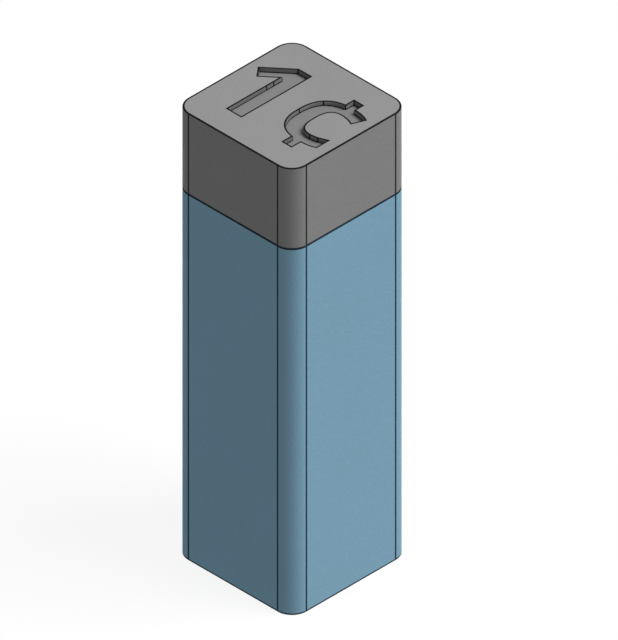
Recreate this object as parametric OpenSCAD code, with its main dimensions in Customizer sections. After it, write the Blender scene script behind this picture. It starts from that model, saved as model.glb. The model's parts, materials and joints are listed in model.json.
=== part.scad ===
// Square coin tube with a push-on cap, for one roll of small coins.
//
// The tube is a square prism with round upright corners and a round bore that
// the coins stack in. Above its shoulder it steps in to a neck. The cap has the
// tube's own outline and a socket that slides down over the neck until the
// skirt lands on the shoulder. All sizes follow from the coin, the walls and
// the gaps between them.

/* [Coin] */
// Diameter of the coin that the tube holds
coin_d = 19.05; // [15:0.05:31]
// Thickness of one coin
coin_t = 1.52; // [1.2:0.01:3.2]
// Number of coins in a full roll
coin_count = 50; // [20:1:60]

/* [Bore] */
// Room that a coin has across the bore
coin_play = 0.75; // [0.3:0.05:1.5]
// Depth of the bore that a full roll leaves free
roll_spare = 1.4; // [0.4:0.1:6]
// Thickness of the floor under the coins
floor_t = 2.4; // [1:0.1:6]
// Size of the bevel that guides coins into the bore
mouth_bevel = 0.4; // [0.2:0.05:0.5]

/* [Tube] */
// Radius of the upright corners of the tube and the cap
corner_r = 3.1; // [2.6:0.1:6]
// Thinnest wall of the neck, between the bore and a flat side
neck_wall = 1.3; // [1.1:0.05:3]
// Size of the bevel round the top of the neck
neck_bevel = 0.5; // [0.2:0.05:0.55]
// Size of the bevel round the foot of the tube and the top of the cap
edge_bevel = 0.25; // [0.1:0.05:0.8]
// Size of the two bevels that meet at the seam of the tube and the cap
seam_bevel = 0.2; // [0.1:0.05:0.4]

/* [Cap] */
// Height of the cap
cap_h = 15; // [10:0.5:20]
// Thickness of the roof of the cap, over the neck
roof_t = 3; // [1.5:0.1:6]
// Thickness of the skirt of the cap, round the neck
skirt_wall = 1.4; // [1.1:0.05:1.7]
// Size of the bevel that guides the socket onto the neck
socket_bevel = 0.3; // [0.1:0.05:0.5]

/* [Fit] */
// Gap between the neck and the socket, on each side
slide_gap = 0.1; // [0.05:0.01:0.2]
// Gap between the top of the neck and the roof of the cap
roof_gap = 0.3; // [0.1:0.05:2]

/* [Hidden] */
$fn = 96;
TUBE_COLOUR = [0.47, 0.62, 0.70];
CAP_COLOUR = [0.58, 0.58, 0.58];
// How far a cut runs past the face that it opens
overrun = 1;

// Sizes across the sides, from the coin outwards
bore_r = (coin_d + coin_play) / 2;
neck_w = 2 * (bore_r + neck_wall);
socket_w = neck_w + 2 * slide_gap;
outer_w = socket_w + 2 * skirt_wall;

// The round corners share their centres, so the skirt and the gap keep their
// thickness all the way round
socket_r = corner_r - skirt_wall;
neck_r = socket_r - slide_gap;

// Heights, from the foot upwards
bore_depth = coin_count * coin_t + roll_spare;
neck_top_z = floor_t + bore_depth;
socket_h = cap_h - roof_t;
neck_h = socket_h - roof_gap;
shoulder_z = neck_top_z - neck_h;

// Outline of one half of an upright section, from the axis out to the side. A
// bevel above zero cuts the edge off, and one below zero flares it outwards.
function half_section(half_w, h, foot_bevel, top_bevel) = [
    [0, 0],
    [half_w - foot_bevel, 0],
    if (foot_bevel != 0) [half_w, abs(foot_bevel)],
    if (top_bevel != 0) [half_w, h - top_bevel],
    [half_w - top_bevel, h],
    [0, h]
];

// The part of a prism that lies between the round corners of two facing sides
module slab(w, r, h, foot_bevel, top_bevel) {
    for (side = [0, 1])
        mirror([side, 0, 0])
            rotate([90, 0, 0])
                linear_extrude(w - 2 * r, center = true)
                    polygon(half_section(w / 2, h, foot_bevel, top_bevel));
}

// Square prism that stands on the level z = 0, with round upright corners and
// bevelled ends
module corner_prism(w, r, h, foot_bevel = 0, top_bevel = 0) {
    corner_at = w / 2 - r;
    slab(w, r, h, foot_bevel, top_bevel);
    rotate(90)
        slab(w, r, h, foot_bevel, top_bevel);
    for (turn = [0:90:270])
        rotate(turn)
            translate([corner_at, corner_at, 0])
                rotate_extrude(angle = 90)
                    polygon(half_section(r, h, foot_bevel, top_bevel));
}

// Round blind hole that the coins stack in, with its bevelled mouth
module coin_bore() {
    mouth_h = mouth_bevel + overrun;
    translate([0, 0, floor_t])
        cylinder(h = bore_depth + overrun, r = bore_r);
    translate([0, 0, neck_top_z - mouth_bevel])
        cylinder(h = mouth_h, r1 = bore_r, r2 = bore_r + mouth_h);
}

// The neck's walls stand on the floor, inside the tube, and rise past its
// shoulder
module tube_body() {
    color(TUBE_COLOUR)
        difference() {
            union() {
                corner_prism(outer_w, corner_r, shoulder_z, edge_bevel, seam_bevel);
                translate([0, 0, floor_t])
                    corner_prism(neck_w, neck_r, bore_depth, top_bevel = neck_bevel);
            }
            coin_bore();
        }
}

// Inside of the cap, flared at the skirt's edge so that it finds the neck
module neck_socket() {
    flare_h = socket_bevel + overrun;
    translate([0, 0, -overrun]) {
        corner_prism(socket_w, socket_r, socket_h + overrun);
        corner_prism(socket_w, socket_r, flare_h, foot_bevel = -flare_h);
    }
}

module cap() {
    color(CAP_COLOUR)
        translate([0, 0, shoulder_z])
            difference() {
                corner_prism(outer_w, corner_r, cap_h, seam_bevel, edge_bevel);
                neck_socket();
            }
}

tube_body();
cap();
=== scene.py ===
"""Square coin tube and its push-on cap, modelled and finished in the frame of the CAD part.

The tube is an upright square with round corners. It steps in to a neck above its shoulder, and
a round bore for a roll of small coins runs down inside it. The cap has the tube's outline and
slides down over the neck. Its denomination is sunk into its top.
"""

import json
import logging
import math
from collections.abc import Callable, Sequence
from dataclasses import dataclass
from enum import Enum

import bmesh
import bpy
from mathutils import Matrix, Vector


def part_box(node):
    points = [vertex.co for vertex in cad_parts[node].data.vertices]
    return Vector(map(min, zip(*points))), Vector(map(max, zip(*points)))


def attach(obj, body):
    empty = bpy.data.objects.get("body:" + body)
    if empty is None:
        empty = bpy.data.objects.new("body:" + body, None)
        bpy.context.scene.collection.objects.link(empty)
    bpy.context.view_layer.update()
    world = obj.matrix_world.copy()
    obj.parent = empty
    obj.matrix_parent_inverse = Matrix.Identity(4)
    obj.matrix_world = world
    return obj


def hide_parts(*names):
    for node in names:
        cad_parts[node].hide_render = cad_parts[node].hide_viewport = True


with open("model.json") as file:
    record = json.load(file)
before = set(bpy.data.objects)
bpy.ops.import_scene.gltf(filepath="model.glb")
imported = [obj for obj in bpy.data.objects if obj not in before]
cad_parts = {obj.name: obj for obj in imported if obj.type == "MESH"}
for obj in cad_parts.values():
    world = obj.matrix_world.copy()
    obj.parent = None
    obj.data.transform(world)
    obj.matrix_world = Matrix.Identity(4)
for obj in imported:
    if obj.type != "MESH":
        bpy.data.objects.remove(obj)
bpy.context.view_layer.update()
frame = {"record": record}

# One millimetre, in metres
MM = 0.001
# Points closer than this count as being in the same place
CLOSE = 0.004 * MM
# Slack in the tests of which way a face looks
DIRECTION_SLACK = 4e-6
# Width over which a pattern stops at an edge
SHARP_FADE = 2 * CLOSE
# How far a cutting piece runs past the face that it opens
OVERRUN = 1 * MM
# Number of strips across an upright round corner, and across a fine rounding or fillet
CORNER_STEPS = 20
FINE_STEPS = 3
# Superellipse profiles of a bevelled edge: a true quarter circle, and squarer curves as in numerals
ROUND_PROFILE = 0.5
BOWL_PROFILE = 0.568
HOLLOW_PROFILE = 0.607
# Faces that meet at a sharper angle than this show a crease, in degrees
CREASE_ANGLE = 35
# Faces that meet at less than this angle count as one flat, in degrees
FLAT_ANGLE = 0.5
# How much the larger faces count where normals are evened out, 100 at most
FACE_WEIGHT = 100
# Face attribute that holds how far a face takes the dark tone of drawn lines and of painted shade, from 0 to
# 1
SHADE_AND_LINE_TONE = "shade_and_line_tone"
# Tones of a drawn line, also used for full painted shade in seams, creases and at the foot, and of a plain
# surface
LINE = 1.0
PLAIN = 0.0
# Values that most of a soft noise lies between
NOISE_LOW = 0.3
NOISE_HIGH = 0.7

Colour = tuple[float, float, float]
Numbers = tuple[float, ...]
Element = bmesh.types.BMEdge | bmesh.types.BMFace
Socket = bpy.types.NodeSocket
Value = float | Socket

UP = Vector((0, 0, 1))
RIGHT = Vector((1, 0, 0))

log = logging.getLogger("coin_tube")


@dataclass(frozen=True)
class Sizes:
    """Sizes that the tube and its cap share, in metres.

    The outline, the levels and the bore come from the CAD frame. The rest are the CAD's own
    values for what its boxes don't show.

    Attributes:
        outer_w: Width across the flat outer sides.
        foot_z: Level of the tube's underside.
        shoulder_z: Level of the shoulder, where the cap ends.
        neck_top_z: Level of the neck's top.
        cap_top_z: Level of the cap's top.
        bore_r: Radius of the bore.
        corner_r: Radius of the outer round corners.
        skirt_wall: Thickness of the cap's skirt.
        slide_gap: Gap between the neck and the socket, on each side.
        roof_gap: Gap between the neck's top and the socket's roof.
        floor_t: Thickness of the bore's floor.
    """

    outer_w: float
    foot_z: float
    shoulder_z: float
    neck_top_z: float
    cap_top_z: float
    bore_r: float
    corner_r: float = 3.1 * MM
    skirt_wall: float = 1.4 * MM
    slide_gap: float = 0.1 * MM
    roof_gap: float = 0.3 * MM
    floor_t: float = 2.4 * MM

    @classmethod
    def from_frame(cls) -> "Sizes":
        """Read the outline and the levels from the CAD nodes, and the bore from its mount.

        Returns:
            The sizes at rest.
        """
        tube_low, tube_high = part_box("tube_body")
        cap_low, cap_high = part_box("cap")
        mounts = {mount["name"]: mount for mount in frame["record"]["mounts"]}
        return cls(
            outer_w=tube_high.x - tube_low.x,
            foot_z=tube_low.z,
            shoulder_z=cap_low.z,
            neck_top_z=tube_high.z,
            cap_top_z=cap_high.z,
            bore_r=mounts["coin_bore"]["dims"]["r_mm"] * MM,
        )

    @property
    def corner_at(self) -> float:
        """Distance of the round corners' axes from the middle, along X and along Y."""
        return self.outer_w / 2 - self.corner_r

    @property
    def socket_r(self) -> float:
        """Radius of the socket's round corners."""
        return self.corner_r - self.skirt_wall

    @property
    def neck_r(self) -> float:
        """Radius of the neck's round corners."""
        return self.socket_r - self.slide_gap

    @property
    def floor_z(self) -> float:
        """Level of the bore's floor."""
        return self.foot_z + self.floor_t

    @property
    def roof_z(self) -> float:
        """Level of the underside of the cap's roof."""
        return self.neck_top_z + self.roof_gap

    def outline(self, level: float, radius: float) -> "Ring":
        """Describe the square outline that has a corner radius, on a level."""
        return Ring(level, radius, self.corner_at)

    def bore(self, level: float) -> "Ring":
        """Describe the bore's circle on a level."""
        return Ring(level, self.bore_r)


class Pick(Enum):
    """What is picked in edit mode."""

    EDGES = "EDGE"
    FACES = "FACE"


class Facing(Enum):
    """Which way a level face looks."""

    UP = 1
    DOWN = -1


class Working(Enum):
    """How one piece is worked into another."""

    JOIN = "UNION"
    CUT = "DIFFERENCE"


@dataclass(frozen=True)
class Ring:
    """A closed ring of edges that lies level, round the bore or along a square outline.

    Attributes:
        level: Height of the ring.
        radius: Radius of its round corners, or of the whole ring where it is a circle.
        corner_at: Distance of the corners' axes from the middle, 0 for a circle.
    """

    level: float
    radius: float
    corner_at: float = 0.0

    def misses(self, point: Vector) -> float:
        """Measure how far a point lies from the ring.

        Args:
            point: A place on the object.

        Returns:
            The larger of the point's distances from the ring's level and from its outline.
        """
        across = max(abs(point.x) - self.corner_at, 0.0)
        along = max(abs(point.y) - self.corner_at, 0.0)
        return max(abs(point.z - self.level), abs(math.hypot(across, along) - self.radius))

    def holds(self, item: Element) -> bool:
        """Say whether all corners of an edge or a face lie on the ring."""
        return all(self.misses(vertex.co) < CLOSE for vertex in item.verts)


def upright(edge: bmesh.types.BMEdge) -> bool:
    """Say whether an edge stands straight up."""
    across = (edge.verts[0].co - edge.verts[1].co).xy
    return across.length < CLOSE


def level_face(height: float, facing: Facing) -> Callable[[bmesh.types.BMFace], bool]:
    """Make a test for level faces.

    Args:
        height: Level that the face lies on.
        facing: Which way it looks.

    Returns:
        A test that a face passes if it lies there and looks that way.
    """

    def test(face: bmesh.types.BMFace) -> bool:
        """Say whether one face passes."""
        flat = face.normal.z * facing.value > 1 - DIRECTION_SLACK
        return flat and all(abs(vertex.co.z - height) < CLOSE for vertex in face.verts)

    return test


def side_face(direction: Vector) -> Callable[[bmesh.types.BMFace], bool]:
    """Make a test for the faces that look in one direction.

    Args:
        direction: Unit vector that the faces look along.

    Returns:
        A test that a face passes if it looks that way.
    """

    def test(face: bmesh.types.BMFace) -> bool:
        """Say whether one face passes."""
        return face.normal.dot(direction) > 1 - DIRECTION_SLACK

    return test


class Workpiece:
    """One mesh on the bench, shaped by edit operators."""

    def __init__(self, name: str, low: Vector, high: Vector) -> None:
        """Start from a block.

        Args:
            name: Name of the piece.
            low: Lowest corner of the block.
            high: Highest corner of the block.
        """
        bpy.ops.object.select_all(action="DESELECT")
        bpy.ops.mesh.primitive_cube_add(size=1, location=(low + high) / 2)
        self.obj = bpy.context.object
        self.obj.name = name
        self.obj.data.name = name
        self.obj.scale = high - low
        self.settle()

    def settle(self) -> None:
        """Write the object's place, turn and size into its mesh."""
        bpy.ops.object.transform_apply(location=True, rotation=True, scale=True)

    def place(self, corner: tuple[float, float], turn: float) -> None:
        """Turn the piece about the Z axis and move it.

        Args:
            corner: Where its origin goes, in X and Y.
            turn: Angle that it turns by, in degrees.
        """
        self.obj.rotation_euler.z = math.radians(turn)
        self.obj.location = (*corner, 0)
        self.settle()

    def take_up(self) -> None:
        """Make this the one piece that the next operator acts on."""
        bpy.ops.object.select_all(action="DESELECT")
        bpy.context.view_layer.objects.active = self.obj
        self.obj.select_set(True)

    def open_edit(self, kind: Pick) -> bmesh.types.BMesh:
        """Take the piece alone into edit mode.

        Args:
            kind: What is picked.

        Returns:
            The mesh as edit mode shows it.
        """
        self.take_up()
        bpy.ops.object.mode_set(mode="EDIT")
        bpy.ops.mesh.select_mode(type=kind.value)
        return bmesh.from_edit_mesh(self.obj.data)

    def close_edit(self) -> None:
        """Leave edit mode. What is picked stays picked."""
        bpy.ops.object.mode_set(mode="OBJECT")

    def pick(self, kind: Pick, test: Callable[[Element], bool]) -> None:
        """Pick what passes a test, and nothing else.

        Args:
            kind: Whether edges or faces are picked.
            test: Says whether one of them is wanted.
        """
        mesh = self.open_edit(kind)
        bpy.ops.mesh.select_all(action="DESELECT")
        for item in mesh.edges if kind is Pick.EDGES else mesh.faces:
            if test(item):
                item.select_set(True)
        bmesh.update_edit_mesh(self.obj.data)
        self.close_edit()

    def pick_edges(self, test: Callable[[bmesh.types.BMEdge], bool]) -> None:
        """Pick the edges that pass a test, and no others."""
        self.pick(Pick.EDGES, test)

    def pick_faces(self, test: Callable[[bmesh.types.BMFace], bool]) -> None:
        """Pick the faces that pass a test, and no others."""
        self.pick(Pick.FACES, test)

    def pick_all(self) -> None:
        """Pick every face."""
        self.pick_faces(lambda face: True)

    def bevel(self, width: float, segments: int, profile: float = ROUND_PROFILE) -> None:
        """Round the picked edges.

        Args:
            width: Distance from the edge to where the rounding starts.
            segments: Number of strips across the rounding.
            profile: Fullness of its curve.
        """
        self.open_edit(Pick.EDGES)
        bpy.ops.mesh.bevel(
            offset=width, segments=segments, profile=profile, affect="EDGES", clamp_overlap=True
        )
        self.close_edit()

    def soften(self, ring: Ring, width: float, segments: int) -> None:
        """Round the edges of one ring.

        Args:
            ring: The ring that the edges lie on.
            width: Distance from the edge to where the rounding starts.
            segments: Number of strips across the rounding.
        """
        self.pick_edges(ring.holds)
        self.bevel(width, segments)

    def inset(self, wall: float) -> None:
        """Draw the picked faces in from their outline.

        Args:
            wall: Even width that they are drawn in by.
        """
        self.open_edit(Pick.FACES)
        bpy.ops.mesh.inset(thickness=wall, depth=0, use_even_offset=True)
        self.close_edit()

    def extrude(self, offset: Vector) -> None:
        """Draw the picked faces out, or down into the piece.

        Args:
            offset: How far, and in which direction.
        """
        self.open_edit(Pick.FACES)
        bpy.ops.mesh.extrude_region_move(TRANSFORM_OT_translate={"value": offset})
        self.close_edit()

    def shift(self, offset: Vector) -> None:
        """Move the picked edges.

        Args:
            offset: How far, and in which direction.
        """
        self.open_edit(Pick.EDGES)
        bpy.ops.transform.translate(value=offset)
        self.close_edit()

    def weld(self) -> None:
        """Merge the points that lie in the same place."""
        self.open_edit(Pick.EDGES)
        bpy.ops.mesh.select_all(action="SELECT")
        bpy.ops.mesh.remove_doubles(threshold=CLOSE)
        self.close_edit()

    def stretch(self, factors: Vector, about: Vector) -> None:
        """Scale what is picked.

        Args:
            factors: Scale along each axis.
            about: The point that stays.
        """
        self.open_edit(Pick.FACES)
        bpy.ops.transform.resize(value=factors, center_override=about)
        self.close_edit()

    def trim(self, point: Vector, normal: Vector) -> None:
        """Cut the piece with a plane, take away the side that the normal points to and close the cut.

        Args:
            point: A point on the plane.
            normal: Direction of the side that goes.
        """
        self.open_edit(Pick.FACES)
        bpy.ops.mesh.select_all(action="SELECT")
        bpy.ops.mesh.bisect(
            plane_co=point, plane_no=normal, use_fill=True, clear_outer=True, threshold=CLOSE
        )
        self.close_edit()

    def score(self, point: Vector, normal: Vector) -> None:
        """Part the picked faces along a plane, and take nothing away.

        Args:
            point: A point on the plane.
            normal: Direction square to the plane.
        """
        self.open_edit(Pick.FACES)
        bpy.ops.mesh.bisect(plane_co=point, plane_no=normal, threshold=CLOSE)
        self.close_edit()

    def work_in(self, other: "Workpiece", working: Working) -> None:
        """Join another piece to this one or cut it out, and clear the other away.

        Args:
            other: The piece that is used up.
            working: What is done with it.
        """
        joint = self.obj.modifiers.new("work in", "BOOLEAN")
        joint.operation = working.value
        joint.solver = "EXACT"
        joint.object = other.obj
        self.apply(joint)
        spent = other.obj.data
        bpy.data.objects.remove(other.obj)
        bpy.data.meshes.remove(spent)

    def tone(self, amount: float) -> None:
        """Tone the picked faces.

        Args:
            amount: How far they take the dark tone of drawn lines and painted shade, from 0 to 1.
        """
        mesh = self.obj.data
        if SHADE_AND_LINE_TONE not in mesh.attributes:
            mesh.attributes.new(SHADE_AND_LINE_TONE, "FLOAT", "FACE")
        for face, cell in zip(mesh.polygons, mesh.attributes[SHADE_AND_LINE_TONE].data, strict=True):
            if face.select:
                cell.value = amount

    def merge_flats(self) -> None:
        """Join the faces of each flat surface, where cuts have split them."""
        self.open_edit(Pick.FACES)
        bpy.ops.mesh.select_all(action="SELECT")
        bpy.ops.mesh.dissolve_limited(angle_limit=math.radians(FLAT_ANGLE))
        self.close_edit()

    def apply(self, modifier: bpy.types.Modifier) -> None:
        """Apply one modifier to the mesh."""
        self.take_up()
        bpy.ops.object.modifier_apply(modifier=modifier.name)

    def smooth(self) -> None:
        """Shade the roundings smoothly, and keep the flat faces flat."""
        self.take_up()
        bpy.ops.object.shade_smooth_by_angle(angle=math.radians(CREASE_ANGLE))
        weighting = self.obj.modifiers.new("flat faces", "WEIGHTED_NORMAL")
        weighting.mode = "FACE_AREA"
        weighting.weight = FACE_WEIGHT
        weighting.keep_sharp = True
        self.apply(weighting)


class Graph:
    """A node tree under construction."""

    def __init__(self, tree: bpy.types.NodeTree) -> None:
        """Empty a node tree.

        Args:
            tree: The tree of a material or of the world.
        """
        tree.nodes.clear()
        self.tree = tree

    def node(self, kind: str, inputs: dict[str, Value | Numbers], **settings: object) -> bpy.types.Node:
        """Add a node.

        Args:
            kind: Type of the node.
            inputs: What goes into its sockets, by name or identifier.
            settings: The node's own settings.

        Returns:
            The new node.
        """
        made = self.tree.nodes.new(kind)
        for name, setting in settings.items():
            setattr(made, name, setting)
        sockets = {socket.identifier: socket for socket in made.inputs}
        for name, value in inputs.items():
            socket = sockets[name] if name in sockets else made.inputs[name]
            if isinstance(value, Socket):
                self.tree.links.new(value, socket)
            else:
                socket.default_value = value
        return made

    def math(self, operation: str, first: Value, second: Value = 0.0, third: Value = 0.0) -> Socket:
        """Work out a number.

        Args:
            operation: Name of the sum.
            first: First number.
            second: Second number, where the sum has one.
            third: Third number, where the sum has one.

        Returns:
            The result.
        """
        made = self.tree.nodes.new("ShaderNodeMath")
        made.operation = operation
        for socket, value in zip(made.inputs, (first, second, third), strict=True):
            if isinstance(value, Socket):
                self.tree.links.new(value, socket)
            else:
                socket.default_value = value
        return made.outputs[0]

    def fade(self, distance: Socket, reach: float) -> Socket:
        """Fall smoothly with distance.

        Args:
            distance: How far a point lies from what fades.
            reach: Where the fall ends.

        Returns:
            1 where the distance is zero, 0 from the reach on.
        """
        ramp = self.node(
            "ShaderNodeMapRange",
            {"Value": distance, "From Min": 0.0, "From Max": reach, "To Min": 1.0, "To Max": 0.0},
            interpolation_type="SMOOTHSTEP",
        )
        return ramp.outputs["Result"]

    def grain(self, place: Socket, size: float, detail: float = 2.0) -> Socket:
        """Make soft noise.

        Args:
            place: Where the noise is read.
            size: Size of its spots, in metres.
            detail: How many finer layers it has.

        Returns:
            The noise, mostly between NOISE_LOW and NOISE_HIGH.
        """
        noise = self.node("ShaderNodeTexNoise", {"Vector": place, "Scale": 1 / size, "Detail": detail})
        return noise.outputs["Fac"]

    def spread(self, noise: Socket, low: float, high: float) -> Socket:
        """Spread noise over a range of values.

        Args:
            noise: Soft noise.
            low: Value that its lowest spots take.
            high: Value that its highest spots take.

        Returns:
            The noise over that range.
        """
        ramp = self.node(
            "ShaderNodeMapRange",
            {"Value": noise, "From Min": NOISE_LOW, "From Max": NOISE_HIGH, "To Min": low, "To Max": high},
        )
        return ramp.outputs["Result"]

    def mix(self, factor: Value, first: Socket | Colour, second: Socket | Colour) -> Socket:
        """Mix two colours.

        Args:
            factor: Share of the second colour.
            first: First colour.
            second: Second colour.

        Returns:
            The mixed colour.
        """
        colours = [v if isinstance(v, Socket) else (*v, 1.0) for v in (first, second)]
        made = self.node(
            "ShaderNodeMix",
            {"Factor_Float": factor, "A_Color": colours[0], "B_Color": colours[1]},
            data_type="RGBA",
        )
        return next(socket for socket in made.outputs if socket.identifier == "Result_Color")

    def finish(self, kind: str, surface: Socket) -> None:
        """Lead a shader to the output node.

        Args:
            kind: Type of the output node.
            surface: The shader.
        """
        self.node(kind, {"Surface": surface})


@dataclass(frozen=True)
class Trace:
    """A band in the dark edge tone along one ring of edges: painted shade in seams, at the foot and in inner
    corners, or a dark worn band on a rim.

    Attributes:
        ring: The ring.
        reach: How far from the ring it shows.
        core: How far from the ring it shows in full.
        strength: How strong it is, from 0 to 1.
    """

    ring: Ring
    reach: float
    core: float = 0.0
    strength: float = 1.0


@dataclass(frozen=True)
class Rubbing:
    """The levels between which a neck, a socket or a bore is rubbed as things slide along it.

    Attributes:
        low: Lowest level.
        high: Highest level.
    """

    low: float
    high: float


@dataclass(frozen=True)
class Surface:
    """The surface of a piece, measured point by point in its material.

    Attributes:
        graph: The material's nodes.
        place: Object coordinates.
        sizes: Sizes of the outline.
    """

    graph: Graph
    place: Socket
    sizes: Sizes

    def axis(self, name: str) -> Socket:
        """Read one coordinate."""
        return self.graph.node("ShaderNodeSeparateXYZ", {"Vector": self.place}).outputs[name]

    def span(self, name: str) -> Socket:
        """Read the size of one coordinate, without its sign."""
        return self.graph.math("ABSOLUTE", self.axis(name))

    def reach_out(self, corner_at: float) -> Socket:
        """Measure how far out a point lies, from the corners' axes or from the middle.

        Args:
            corner_at: Distance of the corners' axes from the middle, 0 for the middle itself.

        Returns:
            The distance, level with the point.
        """
        graph = self.graph
        across, along = (
            graph.math("MAXIMUM", graph.math("SUBTRACT", self.span(name), corner_at), 0.0)
            for name in ("X", "Y")
        )
        squares = graph.math("MULTIPLY_ADD", across, across, graph.math("MULTIPLY", along, along))
        return graph.math("SQRT", squares)

    def distance(self, ring: Ring) -> Socket:
        """Measure how far a point lies from a ring.

        Args:
            ring: The ring.

        Returns:
            The distance over the surface.
        """
        graph = self.graph
        aside = graph.math("SUBTRACT", self.reach_out(ring.corner_at), ring.radius)
        rise = graph.math("SUBTRACT", self.axis("Z"), ring.level)
        return graph.math("ADD", graph.math("ABSOLUTE", aside), graph.math("ABSOLUTE", rise))

    def sunk(self) -> Socket:
        """Measure how far a point lies inside the outer sides, level with it."""
        return self.graph.math("SUBTRACT", self.sizes.corner_r, self.reach_out(self.sizes.corner_at))


@dataclass(frozen=True)
class MouldedPlastic:
    """Moulded plastic with a dull sheen, a fine grain, faint clouds, dark lines, rub marks and painted shade
    in seams, creases and the sunk mark.

    Attributes:
        name: Name of the material.
        colour: Its colour.
        cloud: The colour that it drifts to in soft clouds.
        edge: The dark tone of the drawn lines along edges and of the painted shade in seams, inner corners
            and the sunk mark.
        scuff: The tone of the rub marks.
        roughness: Roughness of the untouched surface.
        roughness_drift: How far the clouds raise and lower it.
        specular: Strength of its reflection.
        cloud_size: Size of the clouds.
        grain_size: Size of the moulded grain.
        grain_depth: Depth of the grain.
        grain_strength: How strongly the grain catches the light, from 0 to 1.
        coarse_grain: Size of the coarse grain, as a multiple of the fine grain's.
        coarse_height: Height of the coarse grain, as a multiple of the fine grain's.
        speck_share: Share of the edge's tone in the darkest specks.
        touch_share: Share of the edge's tone on the handled corners.
        touch_fade: Width over which handling fades out, as a share of the corner radius.
        polish: How much smoother a worn or handled place is.
        shade_and_wear_low: Weakest place along a band of painted shade or a dark worn band, as a share of the
            strongest.
        witness_core: Half the width over which the witness lines of the mould show in full, where
            the flats run into the round corners.
        witness_w: Width of the soft edge beside that.
        rub_size: Width of one rub mark.
        rub_length: Length of a rub mark, as a multiple of its width.
        rub_detail: How many finer layers the rub marks have.
        rub_gap: Value of their noise at its lowest. What lies below 0 stays free of them.
        rub: Strength of the rub marks.
    """

    name: str
    colour: Colour
    cloud: Colour
    edge: Colour
    scuff: Colour
    roughness: float = 0.72
    roughness_drift: float = 0.04
    specular: float = 0.05
    cloud_size: float = 9 * MM
    grain_size: float = 0.28 * MM
    grain_depth: float = 0.012 * MM
    grain_strength: float = 0.6
    coarse_grain: float = 4.0
    coarse_height: float = 1.5
    speck_share: float = 0.06
    touch_share: float = 0.03
    touch_fade: float = 0.125
    polish: float = 0.14
    shade_and_wear_low: float = 0.85
    witness_core: float = 0.12 * MM
    witness_w: float = 0.09 * MM
    rub_size: float = 0.3 * MM
    rub_length: float = 30.0
    rub_detail: float = 3.0
    rub_gap: float = -0.5
    rub: float = 0.3

    def shade_and_wear(self, surface: Surface, traces: Sequence[Trace]) -> Socket:
        """Work out how far each point takes the dark edge tone, from the bands of painted shade and the dark
        worn bands.

        Args:
            surface: The surface that carries the bands.
            traces: The bands of painted shade and the dark worn bands.

        Returns:
            The share, from 0 to 1, uneven along each ring.
        """
        graph = surface.graph
        total: Value = 0.0
        for trace in traces:
            past = graph.math("SUBTRACT", surface.distance(trace.ring), trace.core)
            band = graph.fade(past, trace.reach - trace.core)
            total = graph.math("MAXIMUM", total, graph.math("MULTIPLY", band, trace.strength))
        uneven = graph.spread(graph.grain(surface.place, self.cloud_size / 2), self.shade_and_wear_low, 1.0)
        return graph.math("MULTIPLY", total, uneven)

    def handling(self, surface: Surface) -> Socket:
        """Find the upright round corners, which hands polish.

        Args:
            surface: The surface that is handled.

        Returns:
            1 on the round corners, 0 on the flats.
        """
        graph, sizes = surface.graph, surface.sizes
        nearer = graph.math("MINIMUM", surface.span("X"), surface.span("Y"))
        short = graph.math("MAXIMUM", graph.math("SUBTRACT", sizes.corner_at, nearer), 0.0)
        fade = sizes.corner_r * self.touch_fade
        return graph.math("MULTIPLY", graph.fade(short, fade), graph.fade(surface.sunk(), fade))

    def witness_lines(self, surface: Surface) -> Socket:
        """Find the fine upright lines where the flats run into the round corners.

        Args:
            surface: The surface that carries them.

        Returns:
            The strength of the lines on the outer sides, 0 elsewhere.
        """
        graph = surface.graph
        offsets = [
            graph.math("ABSOLUTE", graph.math("SUBTRACT", surface.span(name), surface.sizes.corner_at))
            for name in ("X", "Y")
        ]
        past = graph.math("SUBTRACT", graph.math("MINIMUM", *offsets), self.witness_core)
        outside = graph.fade(surface.sunk(), SHARP_FADE)
        return graph.math("MULTIPLY", graph.fade(past, self.witness_w), outside)

    def rub_marks(self, surface: Surface, rubbed: Rubbing) -> Socket:
        """Make the fine upright marks that sliding leaves inside the outline.

        Args:
            surface: The surface that is rubbed.
            rubbed: The levels that they lie between.

        Returns:
            Their strength, 0 on the outer sides.
        """
        graph = surface.graph
        stretch = (1, 1, 1 / self.rub_length)
        drawn = graph.node("ShaderNodeMapping", {"Vector": surface.place, "Scale": stretch})
        noise = graph.grain(drawn.outputs["Vector"], self.rub_size, detail=self.rub_detail)
        marks = graph.spread(noise, self.rub_gap, 1.0)
        height = surface.axis("Z")
        past = graph.math(
            "MAXIMUM", graph.math("SUBTRACT", rubbed.low, height), graph.math("SUBTRACT", height, rubbed.high)
        )
        between = graph.fade(past, SHARP_FADE)
        inside = graph.math("SUBTRACT", 1.0, graph.fade(surface.sunk(), surface.sizes.skirt_wall))
        share = graph.math("MULTIPLY", graph.math("MAXIMUM", marks, 0.0), self.rub)
        return graph.math("MULTIPLY", share, graph.math("MULTIPLY", between, inside))

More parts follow.
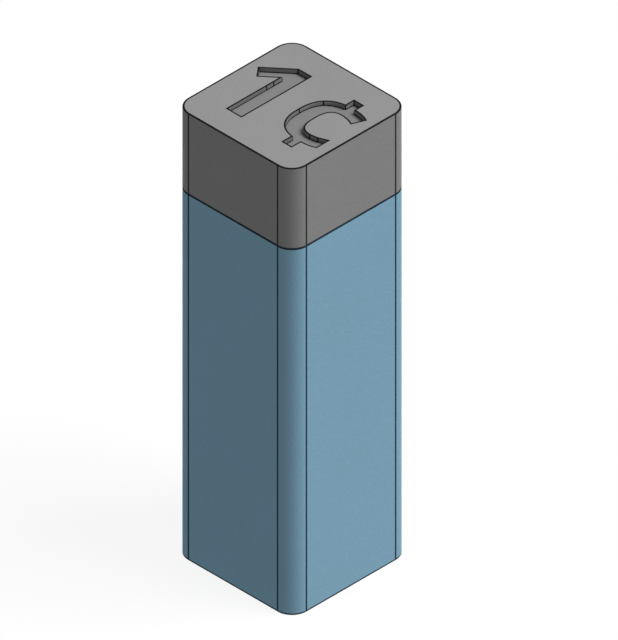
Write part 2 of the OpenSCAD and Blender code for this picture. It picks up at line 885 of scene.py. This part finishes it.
    def material(self, sizes: Sizes, traces: Sequence[Trace], rubbed: Rubbing) -> bpy.types.Material:
        """Build the material.

        Args:
            sizes: Sizes of the outline.
            traces: The bands of painted shade and the dark worn bands of the piece.
            rubbed: Where it is rubbed inside.

        Returns:
            The material.
        """
        made = bpy.data.materials.new(self.name)
        made.use_nodes = True
        graph = Graph(made.node_tree)
        place = graph.node("ShaderNodeTexCoord", {}).outputs["Object"]
        surface = Surface(graph, place, sizes)
        clouds = graph.spread(graph.grain(place, self.cloud_size), 0.0, 1.0)
        specks = graph.spread(graph.grain(place, self.grain_size, detail=1.0), 0.0, 1.0)
        # The bands and the face attribute mix the dark edge tone into the colour: painted shade in the seams,
        # inner corners and sunk mark, and the drawn dark lines.
        shade_and_wear = graph.math("MAXIMUM", self.shade_and_wear(surface, traces), self.witness_lines(surface))
        handled = self.handling(surface)
        shade_and_lines = graph.node("ShaderNodeAttribute", {}, attribute_name=SHADE_AND_LINE_TONE).outputs["Fac"]
        colour = graph.mix(clouds, self.colour, self.cloud)
        for share, layer in (
            (graph.math("MULTIPLY", specks, self.speck_share), self.edge),
            (graph.math("MULTIPLY", handled, self.touch_share), self.edge),
            (self.rub_marks(surface, rubbed), self.scuff),
            (graph.math("MAXIMUM", shade_and_wear, shade_and_lines), self.edge),
        ):
            colour = graph.mix(share, colour, layer)
        polish = graph.math("MULTIPLY", graph.math("MAXIMUM", shade_and_wear, handled), self.polish)
        drift = self.roughness_drift
        uneven = graph.spread(clouds, self.roughness - drift, self.roughness + drift)
        rough = graph.math("SUBTRACT", uneven, polish)
        coarse = graph.grain(place, self.grain_size * self.coarse_grain)
        height = graph.math("ADD", specks, graph.spread(coarse, 0.0, self.coarse_height))
        bump = graph.node(
            "ShaderNodeBump",
            {"Height": height, "Distance": self.grain_depth, "Strength": self.grain_strength},
        ).outputs["Normal"]
        plastic = graph.node(
            "ShaderNodeBsdfPrincipled",
            {
                "Base Color": colour,
                "Roughness": rough,
                "Normal": bump,
                "Specular IOR Level": self.specular,
            },
        )
        graph.finish("ShaderNodeOutputMaterial", plastic.outputs["BSDF"])
        return made


@dataclass
class Moulding:
    """A moulded piece with the square outline, in its own plastic.

    Attributes:
        sizes: Sizes that the tube and the cap share.
        finish: The plastic.
    """

    sizes: Sizes
    finish: MouldedPlastic

    def blank(self, name: str, low: float, high: float) -> Workpiece:
        """Start the piece as a solid square upright with round corners.

        Args:
            name: Name of the piece.
            low: Level of its underside.
            high: Level of its top.

        Returns:
            The blank.
        """
        half = self.sizes.outer_w / 2
        piece = Workpiece(name, Vector((-half, -half, low)), Vector((half, half, high)))
        piece.pick_edges(upright)
        piece.bevel(self.sizes.corner_r, CORNER_STEPS)
        return piece

    def dress(self, piece: Workpiece, traces: Sequence[Trace], rubbed: Rubbing) -> bpy.types.Object:
        """Give the modelled piece its plastic.

        Args:
            piece: The finished mesh.
            traces: The bands in the dark edge tone, painted shade at seams, foot and inner corners among
                them.
            rubbed: Where it is rubbed inside.

        Returns:
            The finished object.
        """
        piece.obj.data.materials.append(self.finish.material(self.sizes, traces, rubbed))
        return piece.obj


@dataclass
class TubeBody(Moulding):
    """The tube: a square upright with a shoulder, a neck and a round blind bore.

    Attributes:
        foot_round: Rounding of the foot.
        shoulder_round: Rounding of the shoulder, at the seam.
        neck_lead: Rounding round the top of the neck, which leads the cap on.
        mouth_lead: Rounding of the bore's mouth, which leads the coins in.
        floor_fillet: Fillet between the bore and its floor.
        neck_fillet: Fillet between the neck and the shoulder.
        floor_shade: Tone of the bore's floor, darkened as painted shade at the bottom of the bore.
        side_steps: Number of cuts along each flat side of the neck's rim.
        neck_steps: Number of strips across the neck's lead.
        mouth_steps: Number of strips across the lead of the bore's mouth.
    """

    foot_round: float = 0.04 * MM
    shoulder_round: float = 0.06 * MM
    neck_lead: float = 0.5 * MM
    mouth_lead: float = 0.4 * MM
    floor_fillet: float = 0.3 * MM
    neck_fillet: float = 0.15 * MM
    floor_shade: float = 0.2
    side_steps: int = 15
    neck_steps: int = 5
    mouth_steps: int = 4

    def shape(self) -> Workpiece:
        """Model the tube.

        Returns:
            The finished mesh.
        """
        s = self.sizes
        tube = self.blank("tube_moulding", s.foot_z, s.shoulder_z)
        tube.pick_faces(level_face(s.shoulder_z, Facing.UP))
        tube.inset(s.corner_r - s.neck_r)
        tube.extrude(UP * (s.neck_top_z - s.shoulder_z))
        self.sink_bore(tube)
        # The foot's and the shoulder's roundings take the full dark tone: a painted shadow line where the
        # tube stands, and painted shade in the seam under the cap.
        for level, width in ((s.foot_z, self.foot_round), (s.shoulder_z, self.shoulder_round)):
            tube.soften(s.outline(level, s.corner_r), width, FINE_STEPS)
            tube.tone(LINE)
        tube.pick_faces(level_face(s.foot_z, Facing.DOWN))
        tube.tone(PLAIN)
        tube.soften(s.outline(s.shoulder_z, s.neck_r), self.neck_fillet, FINE_STEPS)
        tube.soften(s.outline(s.neck_top_z, s.neck_r), self.neck_lead, self.neck_steps)
        tube.soften(s.bore(s.neck_top_z), self.mouth_lead, self.mouth_steps)
        tube.soften(s.bore(s.floor_z), self.floor_fillet, FINE_STEPS)
        # The bore's floor is darkened as painted shade at the bottom of the bore.
        tube.pick_faces(level_face(s.floor_z, Facing.UP))
        tube.tone(self.floor_shade)
        tube.smooth()
        return tube

    def sink_bore(self, tube: Workpiece) -> None:
        """Sink the round bore into the top of the neck.

        Args:
            tube: The tube with its neck.
        """
        s = self.sizes
        rim = s.outline(s.neck_top_z, s.neck_r)
        tube.pick_edges(lambda edge: rim.holds(edge) and edge.calc_length() > s.corner_at)
        tube.open_edit(Pick.EDGES)
        bpy.ops.mesh.subdivide(number_cuts=self.side_steps)
        tube.close_edit()
        tube.pick_faces(level_face(s.neck_top_z, Facing.UP))
        tube.inset(s.neck_r / 2)
        mesh = tube.open_edit(Pick.FACES)
        bpy.ops.transform.tosphere(value=1)
        corner = next(vertex for vertex in mesh.verts if vertex.select)
        scale = s.bore_r / corner.co.xy.length
        tube.close_edit()
        tube.stretch(Vector((scale, scale, 1)), UP * s.neck_top_z)
        tube.extrude(UP * (s.floor_z - s.neck_top_z))

    def traces(self) -> list[Trace]:
        """List the bands in the dark edge tone: painted shade at the foot, in the seam and in the inner
        corners, and dark bands round the neck's top and the bore's mouth.
        """
        s = self.sizes
        # Foot: painted shadow where the tube stands. Shoulder: painted shade in the seam. Neck's foot and
        # bore's floor: painted shade in inner corners.
        return [
            Trace(s.outline(s.foot_z, s.corner_r), reach=0.36 * MM, core=0.24 * MM),
            Trace(s.outline(s.shoulder_z, s.corner_r), reach=0.2 * MM, core=0.08 * MM),
            Trace(s.outline(s.shoulder_z, s.neck_r), reach=0.5 * MM, strength=0.5),
            Trace(s.outline(s.neck_top_z, s.neck_r), reach=0.7 * MM, strength=0.5),
            Trace(s.bore(s.neck_top_z), reach=0.6 * MM, strength=0.5),
            Trace(s.bore(s.floor_z), reach=0.8 * MM, strength=0.6),
        ]

    def build(self) -> bpy.types.Object:
        """Model and dress the tube, and put it in its CAD node's place.

        Returns:
            The finished object.
        """
        rubbed = Rubbing(low=self.sizes.foot_z, high=self.sizes.neck_top_z)
        tube = self.dress(self.shape(), self.traces(), rubbed)
        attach(tube, "tube")
        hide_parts("tube_body")
        return tube


@dataclass
class SunkMark:
    """The denomination in the cap's top: a plain numeral and a cent sign.

    Widths and places are in metres from the middle of the cap's top, with the mark read along X.

    Attributes:
        top_z: Level of the cap's top.
        depth: Depth of the mark.
        half_h: Half the numeral's height.
        stem_left: Left side of the numeral's stem.
        stem_right: Right side of the stem.
        flag_tip: Middle of the free end of the numeral's flag.
        flag_w: Width of the flag.
        flag_slope: Angle of the flag, in degrees.
        bowl_middle: Middle of the cent sign's bowl.
        bowl_half: Half the bowl's width and height.
        bowl_share: Share of that which each of its four curves takes.
        bowl_steps: Number of strips across each of them.
        hollow_left: Left side of the bowl's hollow.
        hollow_half_h: Half the hollow's height at its widest.
        hollow_curve: How far its round left side reaches to the right.
        hollow_steps: Number of strips across each of that side's curves.
        narrowing: Places to the right of that, and half the hollow's height at each.
        lower_end: Inner corner of the bowl's lower end, which is cut off upright.
        upper_end: Inner corner of its upper end, which is cut off at a slant.
        end_slant: Angle of that cut from upright, in degrees.
        tick_left: Left side of the two ticks.
        tick_right: Right side of the ticks.
        tick_half_h: Height of a tick's end from the middle.
        joins: Places on its walls where two stretches of the outline join.
    """

    top_z: float
    depth: float = 0.84 * MM
    half_h: float = 7.38 * MM
    stem_left: float = -6.38 * MM
    stem_right: float = -3.52 * MM
    flag_tip: tuple[float, float] = (-9.91 * MM, 2.78 * MM)
    flag_w: float = 2.1 * MM
    flag_slope: float = 39.9
    bowl_middle: tuple[float, float] = (7.17 * MM, 0.12 * MM)
    bowl_half: float = 5.72 * MM
    bowl_share: float = 0.98
    bowl_steps: int = 14
    hollow_left: float = 4.53 * MM
    hollow_half_h: float = 3.64 * MM
    hollow_curve: float = 2.92 * MM
    hollow_steps: int = 12
    narrowing: tuple[tuple[float, float], ...] = (
        (8.6 * MM, 3.46 * MM),
        (9.4 * MM, 3.16 * MM),
        (10.3 * MM, 2.78 * MM),
    )
    lower_end: tuple[float, float] = (10.27 * MM, -2.5 * MM)
    upper_end: tuple[float, float] = (9.57 * MM, 2.97 * MM)
    end_slant: float = 22.0
    tick_left: float = 5.77 * MM
    tick_right: float = 7.48 * MM
    tick_half_h: float = 7.58 * MM
    joins: tuple[tuple[float, float], ...] = (
        (-6.38 * MM, 0.95 * MM),
        (-6.38 * MM, 2.45 * MM),
        (1.45 * MM, 0.12 * MM),
        (2.48 * MM, 4.29 * MM),
        (7.3 * MM, -3.4 * MM),
        (8.8 * MM, -3.2 * MM),
    )

    def block(
        self, name: str, left: float, right: float, low: float, high: float, spare: float = 0.0
    ) -> Workpiece:
        """Start a cutting piece that reaches from the mark's floor to above the cap.

        Args:
            name: Name of the piece.
            left: Its lower X.
            right: Its higher X.
            low: Its lower Y.
            high: Its higher Y.
            spare: How far it runs past the others below and above.

        Returns:
            The block.
        """
        floor = Vector((left, low, self.top_z - self.depth - spare))
        return Workpiece(name, floor, Vector((right, high, self.top_z + OVERRUN + spare)))

    def numeral(self) -> Workpiece:
        """Make the cutting piece for the numeral, a stem with a flag drawn out of its left side.

        Returns:
            The cutting piece.
        """
        slope = math.radians(self.flag_slope)
        along = Vector((math.cos(slope), math.sin(slope), 0))
        outwards = Vector((-math.sin(slope), math.cos(slope), 0))
        tip = Vector((*self.flag_tip, 0))
        run = self.stem_left - tip.x
        root_y = tip.y + run * math.tan(slope) - self.flag_w / 2 / math.cos(slope)
        stem = self.block("numeral", self.stem_left, self.stem_right, -self.half_h, self.half_h)
        stem.trim(tip + outwards * self.flag_w / 2, outwards)
        stem.pick_all()
        stem.score(Vector((0, root_y, 0)), Vector((0, 1, 0)))
        left = side_face(-RIGHT)
        stem.pick_faces(lambda face: left(face) and face.calc_center_median().y > root_y)
        stem.extrude(-along * run / math.cos(slope))
        for side in (1, -1):
            stem.pick_edges(
                lambda edge: upright(edge)
                and edge.verts[0].co.x < tip.x + CLOSE
                and (edge.verts[0].co.y - tip.y) * side > 0
            )
            stem.shift(-along * side * self.flag_w / 2 * math.tan(slope))
        stem.merge_flats()
        return stem

    def hollow(self) -> Workpiece:
        """Make the hollow of the cent sign's bowl, round on the left and open to the right.

        Returns:
            The piece that is cut from the bowl.
        """
        curve, middle = self.hollow_curve, self.bowl_middle[1]
        widest = self.hollow_left + curve
        hollow = self.block(
            "hollow", self.hollow_left, widest, middle - curve, middle + curve, spare=OVERRUN
        )
        hollow.pick_edges(lambda edge: upright(edge) and edge.verts[0].co.x < widest - CLOSE)
        hollow.bevel(curve, self.hollow_steps, HOLLOW_PROFILE)
        hollow.weld()
        axis = Vector((0, middle, 0))
        hollow.pick_all()
        hollow.stretch(Vector((1, self.hollow_half_h / curve, 1)), axis)
        reached, half_h = widest, self.hollow_half_h
        for place, narrower in self.narrowing:
            hollow.pick_faces(side_face(RIGHT))
            hollow.extrude(RIGHT * (place - reached))
            hollow.stretch(Vector((1, narrower / half_h, 1)), axis)
            reached, half_h = place, narrower
        hollow.pick_faces(side_face(RIGHT))
        hollow.extrude(RIGHT * self.bowl_half)
        return hollow

    def cent_sign(self) -> Workpiece:
        """Make the cutting piece for the cent sign, an open bowl with a tick above and below.

        Returns:
            The cutting piece.
        """
        (x, y), half = self.bowl_middle, self.bowl_half
        bowl = self.block("cent_sign", x - half, x + half, y - half, y + half)
        bowl.pick_edges(upright)
        bowl.bevel(half * self.bowl_share, self.bowl_steps, BOWL_PROFILE)
        bowl.work_in(self.hollow(), Working.CUT)
        lower_cut = self.block("lower_end", 0, half, -half, 0, spare=OVERRUN)
        lower_cut.place(self.lower_end, 0)
        upper_cut = self.block("upper_end", 0, half, 0, half, spare=OVERRUN)
        upper_cut.place(self.upper_end, -self.end_slant)
        for cut in (lower_cut, upper_cut):
            bowl.work_in(cut, Working.CUT)
        root = (self.hollow_half_h + half) / 2
        for low, high in ((root, self.tick_half_h), (-self.tick_half_h, -root)):
            bowl.work_in(self.block("tick", self.tick_left, self.tick_right, low, high), Working.JOIN)
        bowl.merge_flats()
        return bowl


@dataclass
class PushCap(Moulding):
    """The cap: the tube's outline, a square socket for the neck and a sunk mark.

    Attributes:
        mark: The mark in its top.
        rim_round: Rounding of the top rim.
        skirt_round: Rounding of the skirt's outer edge, at the seam.
        seam: Height of the hairline that the seated cap leaves above the shoulder.
        socket_lead: Rounding of the socket's mouth, which finds the neck.
        roof_fillet: Fillet round the socket's roof.
        mark_round: Rounding of the sunk mark's rim.
        line_w: Width of the dark line along the rims of the top and of the mark.
        wall_foot_shade_w: Width of the painted shade along the foot of the mark's walls, in the crease with
            its floor.
        corner_line_w: Width of the line on each side of the mark's upright corners.
        join_line_w: Half the width of the lines where stretches of the mark's outline join.
        wall_shade: Tone of the mark's walls, darkened as painted shade in the sunk mark.
        floor_shade: Tone of its floor, darkened as painted shade in the sunk mark.
        lead_steps: Number of strips across the top rim and the socket's mouth.
        mark_steps: Number of strips across the rounding of the mark's rim.
    """

    mark: SunkMark
    rim_round: float = 0.08 * MM
    skirt_round: float = 0.1 * MM
    seam: float = 0.12 * MM
    socket_lead: float = 0.3 * MM
    roof_fillet: float = 0.3 * MM
    mark_round: float = 0.05 * MM
    line_w: float = 0.26 * MM
    wall_foot_shade_w: float = 0.2 * MM
    corner_line_w: float = 0.13 * MM
    join_line_w: float = 0.12 * MM
    wall_shade: float = 0.29
    floor_shade: float = 0.2
    lead_steps: int = 4
    mark_steps: int = 2

    @property
    def mark_floor(self) -> float:
        """Level of the mark's floor."""
        return self.sizes.cap_top_z - self.mark.depth

    def shape(self) -> Workpiece:
        """Model the cap.

        Returns:
            The finished mesh.
        """
        s = self.sizes
        foot = s.shoulder_z + self.seam
        cap = self.blank("cap_moulding", foot, s.cap_top_z)
        cap.pick_faces(level_face(foot, Facing.DOWN))
        cap.inset(s.skirt_wall)
        cap.extrude(UP * (s.roof_z - foot))
        self.sink_mark(cap)
        cap.soften(s.outline(foot, s.socket_r), self.socket_lead, self.lead_steps)
        cap.soften(s.outline(s.roof_z, s.socket_r), self.roof_fillet, FINE_STEPS)
        # The skirt's rounding at the seam takes the full dark tone as painted shade between the cap and the
        # tube.
        cap.soften(s.outline(foot, s.corner_r), self.skirt_round, FINE_STEPS)
        cap.tone(LINE)
        cap.soften(s.outline(s.cap_top_z, s.corner_r), self.rim_round, self.lead_steps)
        cap.tone(LINE)
        self.draw_lines(cap)
        cap.smooth()
        return cap

    def in_mark(self, point: Vector) -> bool:
        """Say whether a point lies in the mark or on its rim, and not on the rim of the cap."""
        inside = self.sizes.outer_w / 2 - self.sizes.skirt_wall
        return point.z > self.mark_floor + CLOSE and max(abs(point.x), abs(point.y)) < inside

    def on_wall(self, face: bmesh.types.BMFace) -> bool:
        """Say whether a face is a wall of the mark."""
        return abs(face.normal.z) < DIRECTION_SLACK and self.in_mark(face.calc_center_median())

    def sink_mark(self, cap: Workpiece) -> None:
        """Sink the denomination into the top of the cap, and round and tone its rim.

        Args:
            cap: The cap with a plain top.
        """
        cap.work_in(self.mark.numeral(), Working.CUT)
        cap.work_in(self.mark.cent_sign(), Working.CUT)
        cap.merge_flats()

        def on_rim(edge: bmesh.types.BMEdge) -> bool:
            """Say whether an edge lies between the cap's top and a wall of the mark."""
            level = all(abs(vertex.co.z - self.sizes.cap_top_z) < CLOSE for vertex in edge.verts)
            return level and any(self.on_wall(face) for face in edge.link_faces)

        cap.pick_edges(on_rim)
        cap.bevel(self.mark_round, self.mark_steps)
        cap.tone(LINE)

    def line_corners(self, cap: Workpiece) -> None:
        """Draw a line down the walls of the mark on both sides of each sharp upright corner.

        Args:
            cap: The cap with its mark.
        """
        mesh = cap.open_edit(Pick.EDGES)
        sides = [
            (edge.verts[0].co.copy(), face.normal.copy())
            for edge in mesh.edges
            if upright(edge) and edge.calc_face_angle(0) > math.radians(CREASE_ANGLE)
            for face in edge.link_faces
            if self.on_wall(face)
        ]
        cap.close_edit()
        for corner, normal in sides:
            self.line_down(cap, corner, normal, self.corner_line_w)

    def line_joins(self, cap: Workpiece) -> None:
        """Draw a line down a wall of the mark where two stretches of its outline join.

        Args:
            cap: The cap with its mark.
        """
        half_way = self.mark_floor + self.mark.depth / 2
        for join in self.mark.joins:
            _, place, normal, _ = cap.obj.closest_point_on_mesh(Vector((*join, half_way)))
            self.line_down(cap, place, normal, self.join_line_w)

    def line_down(self, cap: Workpiece, place: Vector, normal: Vector, reach: float) -> None:
        """Draw a line straight down a wall of the mark.

        Args:
            cap: The cap with its mark.
            place: A point of the wall, in the middle of the line.
            normal: Direction that the wall faces there.
            reach: How far the line reaches to both sides of that point.
        """
        along = normal.cross(UP)

        def offset(point: Vector) -> float:
            """Measure how far a point lies beside the middle of the line."""
            return (point - place).dot(along)

        def crossed(face: bmesh.types.BMFace) -> bool:
            """Say whether a face belongs to this wall and reaches into the line.

            Args:
                face: A face of the cap.

            Returns:
                Whether the line crosses it.
            """
            offsets = [offset(vertex.co) for vertex in face.verts]
            reached = min(offsets) < reach and max(offsets) > -reach
            near = abs((face.verts[0].co - place).dot(face.normal)) < reach
            alike = face.normal.dot(normal) > math.cos(math.radians(CREASE_ANGLE))
            return reached and near and alike and self.on_wall(face)

        for side in (-1, 1):
            cap.pick_faces(crossed)
            cap.score(place + along * side * reach, along)
        cap.pick_faces(lambda face: crossed(face) and abs(offset(face.calc_center_median())) < reach)
        cap.tone(LINE)

    def draw_lines(self, cap: Workpiece) -> None:
        """Darken the mark's walls and floor as painted shade, paint shade along the foot of the walls, and
        draw the lines on its walls and round the rims.

        Args:
            cap: The cap with its mark.
        """
        # The mark's walls, and further on its floor, are darkened as painted shade in the recess.
        cap.pick_faces(self.on_wall)
        cap.tone(self.wall_shade)
        self.line_corners(cap)
        self.line_joins(cap)
        # Painted shade along the foot of the mark's walls, in the crease with the floor.
        foot_shade_top = self.mark_floor + self.wall_foot_shade_w
        cap.pick_faces(self.on_wall)
        cap.score(UP * foot_shade_top, UP)
        cap.pick_faces(lambda face: self.on_wall(face) and face.calc_center_median().z < foot_shade_top)
        cap.tone(LINE)
        cap.pick_faces(level_face(self.mark_floor, Facing.UP))
        cap.tone(self.floor_shade)
        cap.pick_faces(level_face(self.sizes.cap_top_z, Facing.UP))
        cap.tone(LINE)
        cap.inset(self.line_w)
        cap.tone(PLAIN)

    def traces(self) -> list[Trace]:
        """List the bands in the dark edge tone: painted shade in the seam at the skirt's foot, and a dark
        band round the socket's mouth.
        """
        s = self.sizes
        return [
            Trace(s.outline(s.shoulder_z, s.corner_r), reach=0.34 * MM, core=0.22 * MM),
            Trace(s.outline(s.shoulder_z, s.socket_r), reach=0.5 * MM, strength=0.5),
        ]

    def build(self) -> bpy.types.Object:
        """Model and dress the cap, and put it in its CAD node's place.

        Returns:
            The finished object.
        """
        rubbed = Rubbing(low=self.sizes.shoulder_z, high=self.sizes.roof_z)
        cap = self.dress(self.shape(), self.traces(), rubbed)
        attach(cap, "lid")
        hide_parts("cap")
        return cap


@dataclass(frozen=True)
class Studio:
    """White surroundings, one soft lamp, and a floor that keeps a faint shadow.

    Attributes:
        key_from: Direction that the lamp's light comes from.
        key_strength: Strength of the lamp.
        key_spread: Angle that the lamp fills as seen from the object, in degrees.
        ambient: Light that comes evenly from all round.
        bounce: Light that the floor gives back to the object.
        shade_tone: Share of the floor's white that comes from light and so takes the shadow.
        open_light: Light that falls on the open floor, as a share of white.
        floor_w: Width of the floor.
    """

    key_from: Vector
    key_strength: float = 2.74
    key_spread: float = 34.0
    ambient: float = 0.287
    bounce: float = 0.271
    shade_tone: float = 0.12
    open_light: float = 0.92
    floor_w: float = 4.0

    def camera_sees(self, graph: Graph) -> Socket:
        """Tell the rays that show the surroundings from those that light the object.

        Args:
            graph: The nodes of the floor or the world.

        Returns:
            1 for camera, glossy and transmission rays, 0 for others.
        """
        rays = graph.node("ShaderNodeLightPath", {}).outputs
        seen = graph.math("MAXIMUM", rays["Is Camera Ray"], rays["Is Glossy Ray"])
        return graph.math("MAXIMUM", seen, rays["Is Transmission Ray"])

    def light_world(self) -> None:
        """Make the world white to the camera and softer to the object."""
        world = bpy.data.worlds.new("studio_air")
        world.use_nodes = True
        graph = Graph(world.node_tree)
        seen = self.camera_sees(graph)
        strength = graph.math("ADD", graph.math("MULTIPLY", seen, 1 - self.ambient), self.ambient)
        air = graph.node("ShaderNodeBackground", {"Strength": strength, "Color": (1, 1, 1, 1)})
        graph.finish("ShaderNodeOutputWorld", air.outputs["Background"])
        bpy.context.scene.world = world

    def hang_key(self) -> None:
        """Hang the lamp."""
        bpy.ops.object.light_add(type="SUN", location=self.key_from)
        lamp = bpy.context.object
        lamp.name = "key_lamp"
        lamp.rotation_euler = self.key_from.to_track_quat("Z", "Y").to_euler()
        lamp.data.energy = self.key_strength
        lamp.data.angle = math.radians(self.key_spread)

    def lay_floor(self) -> None:
        """Lay the floor, white to the camera except where the object shades it."""
        bpy.ops.mesh.primitive_plane_add(size=self.floor_w, location=(0, 0, 0))
        floor = bpy.context.object
        floor.name = "studio_floor"
        material = bpy.data.materials.new("pale_floor")
        material.use_nodes = True
        graph = Graph(material.node_tree)
        seen = self.camera_sees(graph)
        tone = graph.math("MULTIPLY", seen, self.shade_tone)
        matt = graph.node("ShaderNodeBsdfDiffuse", {"Color": tone}).outputs["BSDF"]
        white = 1 - self.shade_tone * self.open_light
        glow = graph.math("MULTIPLY_ADD", seen, white - self.bounce, self.bounce)
        lit = graph.node("ShaderNodeEmission", {"Color": (1, 1, 1, 1), "Strength": glow}).outputs["Emission"]
        both = graph.node("ShaderNodeAddShader", {"Shader": matt, "Shader_001": lit}).outputs["Shader"]
        graph.finish("ShaderNodeOutputMaterial", both)
        floor.data.materials.append(material)

    def set_up(self) -> None:
        """Set up the floor, the lamp and the world."""
        bpy.ops.object.select_all(action="DESELECT")
        self.light_world()
        self.hang_key()
        self.lay_floor()
        bpy.context.scene.view_settings.view_transform = "Standard"


@dataclass(frozen=True)
class PhotoCamera:
    """The photograph's isometric camera.

    Attributes:
        axis_px: Column of the tube's axis in the photograph.
        top_px: Row of the middle of the cap's top.
        px_per_m: Pixels of the photograph per metre.
        photo_w: Width of the photograph, in pixels.
        photo_h: Height of the photograph, in pixels.
        azimuth: Turn of the camera round the tube, in degrees.
        elevation: Height of the camera above the horizon, in degrees.
        stand_off: Distance of the camera from the tube.
        near: Nearest distance that it shows.
        far: Furthest distance that it shows.
    """

    axis_px: float = 292.0
    top_px: float = 105.8
    px_per_m: float = 6574.4
    photo_w: int = 618
    photo_h: int = 640
    azimuth: float = 45.0
    elevation: float = math.degrees(math.asin(1 / math.sqrt(3)))
    stand_off: float = 1.0
    near: float = 0.1
    far: float = 10.0

    def place(self, top_z: float) -> None:
        """Place the camera, so that the cap's top lands where the photograph has it.

        Args:
            top_z: Level of the cap's top.
        """
        turn, rise = math.radians(self.azimuth), math.radians(self.elevation)
        back = Vector((math.sin(turn) * math.cos(rise), -math.cos(turn) * math.cos(rise), math.sin(rise)))
        right = Vector((math.cos(turn), math.sin(turn), 0))
        up = back.cross(right)
        aside = (self.photo_w / 2 - self.axis_px) / self.px_per_m
        below = (self.photo_h / 2 - self.top_px) / self.px_per_m
        aim = Vector((0, 0, top_z)) + right * aside - up * below
        bpy.ops.object.camera_add(location=aim + back * self.stand_off)
        camera = bpy.context.object
        camera.name = "photo_camera"
        camera.rotation_euler = back.to_track_quat("Z", "Y").to_euler()
        camera.data.type = "ORTHO"
        camera.data.ortho_scale = max(self.photo_w, self.photo_h) / self.px_per_m
        camera.data.clip_start = self.near
        camera.data.clip_end = self.far
        bpy.context.scene.camera = camera


def main() -> None:
    """Build the tube, the cap, the studio and the camera."""
    logging.basicConfig(level=logging.INFO, format="%(name)s: %(message)s")
    sizes = Sizes.from_frame()
    PhotoCamera().place(sizes.cap_top_z)
    # Each edge colour is the dark tone of the drawn lines and of the painted shade in seams, inner corners,
    # at the foot and in the sunk mark.
    blue = MouldedPlastic(
        name="slate_blue_plastic",
        colour=(0.275, 0.495, 0.662),
        cloud=(0.267, 0.487, 0.639),
        edge=(0.004, 0.012, 0.021),
        scuff=(0.420, 0.620, 0.760),
    )
    grey = MouldedPlastic(
        name="stone_grey_plastic",
        colour=(0.310, 0.310, 0.310),
        cloud=(0.300, 0.301, 0.303),
        edge=(0.006, 0.006, 0.007),
        scuff=(0.480, 0.480, 0.480),
    )
    TubeBody(sizes, blue).build()
    PushCap(sizes, grey, SunkMark(sizes.cap_top_z)).build()
    Studio(key_from=Vector((0.47, 0.33, 0.82))).set_up()


if __name__ == "__main__":
    main()
